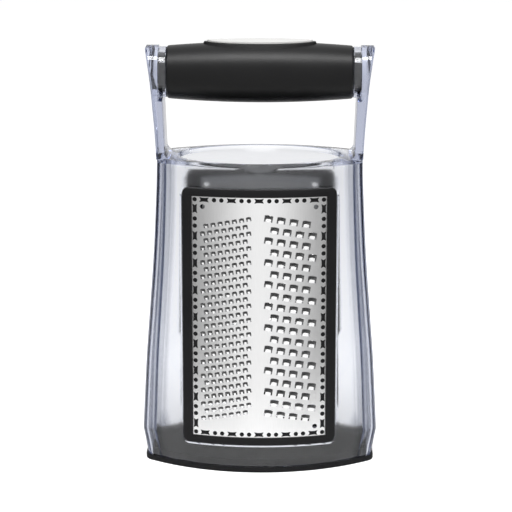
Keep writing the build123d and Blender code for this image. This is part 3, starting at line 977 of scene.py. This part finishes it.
for (side, way), fields in zip(sides, (front_fields, rear_fields)):
    blade = finished(
        side + "_blade_steel", blade_mesh(fields, way), blade_steel,
        side + "_cartridge", [side + "_blade"], degrees=30.0,
    )
    # The back of the sheet is left unpolished and painted darker, as painted shade inside the body; etching
    # roughens the chutes and the edges of the openings, and their dark colour is painted shade seen through
    # the openings
    blade.data.materials.append(painted_shade_back_steel)
    blade.data.materials.append(painted_shade_steel)
    unseat = (way @ seat).inverted()
    turn_back = unseat.to_3x3()
    for polygon in blade.data.polygons:
        place = unseat @ (polygon.center / mm)
        depth = wall_radius + blade_height - math.hypot(place.x, wall_radius - place.y)
        if (turn_back @ polygon.normal).y > 0.5:
            # Back faces take the painted shade of the body's inside
            polygon.material_index = 1
        elif depth > 0.05:
            # Faces below the front skin take the painted shade seen through the openings
            polygon.material_index = 2

# Border studs.
# The frame's plastic is moulded through slots and dots in the blade's edge, which locks the sheet.
# It shows as a black border of notched bars with a pair of dots between them.


def stud_tree(rows):
    """Rows of studs on the flat sheet, bent to the wall."""
    inputs = [("Float", "Wall Radius"), ("Float", "Sheet Above Wall"), ("Material", "Plastic")]
    row_inputs = (
        ("Object", "Stud"), ("Int", "Count"), ("Vector", "First"), ("Vector", "Step"), ("Float", "Turn"),
    )
    for row in rows:
        inputs += [(kind, row + " " + label) for kind, label in row_inputs]
    tree, given, made = shape_tree("Border studs", inputs)
    whole = node(tree, "GeometryNodeJoinGeometry")
    index = node(tree, "GeometryNodeInputIndex").outputs["Index"]
    for row in rows:
        place = node(tree, "ShaderNodeVectorMath", {
            0: index, 1: given[row + " Step"], 2: given[row + " First"],
        }, operation="MULTIPLY_ADD").outputs["Vector"]
        stud = from_object(tree, given[row + " Stud"])
        studs = instances(tree, given[row + " Count"], place, stud, given[row + " Turn"])
        feed(tree, whole, {"Geometry": studs})
    bend_and_finish(tree, given, made, whole.outputs["Geometry"], given["Plastic"])
    return tree


def stud_solid(plan):
    """Low stud of one plan with an eased top edge, standing just proud of the sheet."""
    levels = ((0.3, 1.0), (-0.04, 1.0), (-0.12, 0.93))
    return solid_object([[(x * share, y, z * share) for x, z in plan] for y, share in levels])


bar = stud_solid([
    (-2.85, -1.5), (-1.0, -1.15), (1.0, -1.15), (2.85, -1.5), (2.1, 0.0),
    (2.85, 1.5), (1.0, 1.15), (-1.0, 1.15), (-2.85, 1.5), (-2.1, 0.0),
])
dot_radius = 1.35
dot = stud_solid(oval(12, dot_radius, dot_radius))
border_x = 38.7
border_z = 72.4
bar_step_x = 16.5
bar_step_z = 16.71
dot_half = 2.2
stud_rows = {}
for name, up in (("Top", middle_z + border_z), ("Bottom", middle_z - border_z)):
    stud_rows[name + " Bars"] = (bar, 5, (-2 * bar_step_x, up), (bar_step_x, 0), 0.0)
    for way in (-1, 1):
        first = (-1.5 * bar_step_x + way * dot_half, up)
        stud_rows[name + " Dots " + str(way)] = (dot, 4, first, (bar_step_x, 0), 0.0)
        stud_rows[name + " Corner " + str(way)] = (dot, 1, (way * border_x, up), (0, 0), 0.0)
for name, across in (("Left", -border_x), ("Right", border_x)):
    first = (across, middle_z - 4 * bar_step_z)
    stud_rows[name + " Bars"] = (bar, 9, first, (0, bar_step_z), math.pi / 2)
    for way in (-1, 1):
        first = (across, middle_z - 3.5 * bar_step_z + way * dot_half)
        stud_rows[name + " Dots " + str(way)] = (dot, 8, first, (0, bar_step_z), 0.0)
stud_values = {
    "Wall Radius": wall_radius * mm, "Sheet Above Wall": blade_height * mm, "Plastic": cartridge_plastic,
}
for row, (stud, count, first, step, turn) in stud_rows.items():
    first, step = [(x * mm, 0.0, z * mm) for x, z in (first, step)]
    stud_values |= named(row, ("Stud", "Count", "First", "Step", "Turn"), (stud, count, first, step, turn))
stud_mesh = grown(stud_tree(list(stud_rows)), stud_values)
for stud in (bar, dot):
    bpy.data.objects.remove(stud)
for side, way in sides:
    finished(
        side + "_border_studs", onto_side(stud_mesh.copy(), way), cartridge_plastic,
        side + "_cartridge", [],
    )

# Handle core and collars.
# A round plastic core joins the two arms and is bonded to them.
# At each end its hub shows through a clear collar, which fills the gap between grip and arm.
core_plastic = moulded(
    "core plastic", (0.012, 0.012, 0.013), (0.02, 0.02, 0.021), 0.35, 0.1, 900.0, 0.00003, 0.3
)


def turned(profile, steps=64):
    """Rings of a profile of (place along, radius) turned about the grip's axis."""
    return [[(x, y, grip_axis + z) for y, z in oval(steps, radius, radius)] for x, radius in profile]


grip_half = 56.2
hub_end = 60.88
hub_radius = 12.0
hub_bore = 12.1
core_profile = [(0.0, hub_radius), (60.5, hub_radius), (hub_end, hub_radius - 0.4)]
core_profile = [(-x, radius) for x, radius in reversed(core_profile[1:])] + core_profile
finished(
    "core_with_hubs", solid_mesh(*loft(turned(core_profile))), core_plastic,
    "body", ["handle_core"],
)
collar_start = grip_half + 0.05
collar_end = 60.92
collar_profile = [
    (collar_start, hub_bore), (collar_start, 15.1), (grip_half + 0.35, collar_radius), (60.6, collar_radius),
    (collar_end, 15.1), (collar_end, hub_bore),
]
for side, way in (("right", 1), ("left", -1)):
    rings = turned([(way * x, radius) for x, radius in collar_profile])
    finished(
        "collar_" + side + "_clear", solid_mesh(*loft(rings, True)), clear_plastic,
        "body", ["collar_" + side],
    )

# Grip.
# A soft black rubber barrel is moulded over the core, thickest in the middle.
# A raised land on top of it holds the inlay.
grip_rubber = moulded(
    "grip rubber", (0.004, 0.004, 0.0044), (0.008, 0.008, 0.0084), 0.34, 0.12, 700.0, 0.0001, 0.24
)
grip_middle_radius = 18.3
grip_taper = 2.4
land_rise = 1.2


def barrel_radius(x):
    """Radius of the grip's barrel at a place along it."""
    return grip_middle_radius - grip_taper * (x / grip_half) ** 2


def barrel_solid(rise=0.0, steps=96):
    """Barrel of the grip raised above its own skin, with rounded ends."""
    round_end = grip_half - 1.1
    profile = [(-grip_half, 13.4), (-grip_half, 14.7), (-grip_half + 0.35, 15.35)]
    profile.append((-round_end, barrel_radius(round_end)))
    for step in range(1, 28):
        x = round_end * (2 * step / 28 - 1)
        profile.append((x, barrel_radius(x)))
    profile += [(-x, radius) for x, radius in reversed(profile[:4])]
    return solid_object(turned([(x, radius + rise) for x, radius in profile], steps))


def oval_solid(levels):
    """Upright oval block above the grip's axis, from (height, half length, half width) levels."""
    return solid_object([
        [(x, y, grip_axis + z) for x, y in oval(80, half_length, half_width)]
        for z, half_length, half_width in levels
    ])


land = linked("land", joined(
    barrel_solid(land_rise),
    [("INTERSECT", oval_solid([(10.0, 38.0, 13.0), (25.0, 30.2, 5.6)]))],
))
grip_mesh = joined(
    barrel_solid(),
    [
        ("UNION", land),
        ("DIFFERENCE", oval_solid([(14.4, 31.75, 7.4), (26.0, 31.75, 7.4)])),
        ("DIFFERENCE", solid_object(turned([(-60.0, 12.03), (60.0, 12.03)]))),
    ],
)
finished("grip_rubber_barrel", grip_mesh, grip_rubber, "body", ["handle_grip"], degrees=28.0)

# Inlay.
# A plain white plastic oval is pressed into the land and stands a little proud.
# The real one carries lettering, which is left off.
inlay_white = moulded(
    "inlay white", (0.62, 0.62, 0.607), (0.66, 0.66, 0.645), 0.3, 0.1, 900.0, 0.00003, 0.4
)
inlay_rise = 2.0
inlay_mesh = joined(
    barrel_solid(inlay_rise, 160),
    [("INTERSECT", oval_solid([(14.42, 31.65, 7.3), (26.0, 31.65, 7.3)]))],
    bevel=0.35,
)
finished("inlay_plate", inlay_mesh, inlay_white, "body", ["handle_inlay"], degrees=50.0)

# Studio.
# A sheet of pale paper runs back from the grater into a white ground,
# with soft lamps above and beside it.
floor_mesh = bpy.data.meshes.new("studio_floor")
floor_mesh.from_pydata([(-0.6, -0.17, 0), (0.6, -0.17, 0), (0.6, 4.0, 0), (-0.6, 4.0, 0)], [], [(0, 1, 2, 3)])
floor = linked("studio_floor", floor_mesh)
floor_paint, tree, shader = new_material("studio floor")
rays = node(tree, "ShaderNodeLightPath").outputs
# The paper glows a little where it is seen in a mirror, through glass or straight
seen = 0.0
for ray, strength in (("Is Glossy Ray", 0.3), ("Is Transmission Ray", 0.56), ("Is Camera Ray", 0.72)):
    seen = node(tree, "ShaderNodeMix", {"Factor": rays[ray], "A": seen, "B": strength}).outputs["Result"]
feed(tree, shader, {
    "Base Color": (0.8, 0.8, 0.8, 1), "Roughness": 0.9, "Specular IOR Level": 0.0,
    "Emission Color": (1, 1, 1, 1), "Emission Strength": seen,
})
floor_mesh.materials.append(floor_paint)

# The ground is white to the eye, and darker at the sides where the clear parts mirror it
world = bpy.data.worlds.new("studio")
bpy.context.scene.world = world
world.use_nodes = True
tree = world.node_tree
rays = node(tree, "ShaderNodeLightPath").outputs
towards = node(tree, "ShaderNodeTexCoord").outputs["Generated"]
aside = reckon(tree, "ABSOLUTE", node(tree, "ShaderNodeSeparateXYZ", {"Vector": towards}).outputs["X"])
fade = node(tree, "ShaderNodeMapRange", {
    "Value": aside, "From Min": 0.12, "From Max": 0.7, "To Min": 1.0, "To Max": 0.16,
})
mirrored = node(tree, "ShaderNodeMix", {
    "Factor": rays["Is Glossy Ray"], "A": 0.32, "B": fade.outputs["Result"],
})
strength = node(tree, "ShaderNodeMix", {
    "Factor": reckon(tree, "MAXIMUM", rays["Is Camera Ray"], rays["Is Transmission Ray"]),
    "A": mirrored.outputs["Result"], "B": 1.0,
})
feed(tree, tree.nodes["Background"], {"Color": (1, 1, 1, 1), "Strength": strength.outputs["Result"]})


def soft_lamp(name, place, aim, width, height, power):
    """Large soft lamp that faces a point."""
    data = bpy.data.lights.new(name, "AREA")
    lamp = linked(name, settled(data, shape="RECTANGLE", size=width, size_y=height, energy=power))
    lamp.location = place
    lamp.rotation_euler = (Vector(aim) - Vector(place)).to_track_quat("-Z", "Y").to_euler()


soft_lamp("lamp_top", (0.0, -0.35, 1.1), (0, 0, 0.2), 0.7, 0.3, 9.0)
soft_lamp("lamp_left", (-1.1, -0.6, 0.6), (0, 0, 0.12), 0.5, 1.0, 2.0)
soft_lamp("lamp_right", (1.1, -0.6, 0.6), (0, 0, 0.12), 0.5, 1.0, 2.0)

camera_data = bpy.data.cameras.new("camera")
camera = linked("camera", settled(camera_data, sensor_width=36.0, lens=129.0, shift_x=-4 / 512))
camera_turn = math.radians(0.85)
camera_far = 1.0978
camera_up = 0.4207
camera.location = (camera_far * math.sin(camera_turn), -camera_far * math.cos(camera_turn), camera_up)
camera.rotation_euler = (math.radians(75.0), 0, camera_turn)
scene = bpy.context.scene
scene.camera = camera
# Light passes many times between the faces of the clear plastic before it leaves
settled(scene.cycles, max_bounces=24, glossy_bounces=16, transmission_bounces=24)
scene.view_settings.view_transform = "Standard"
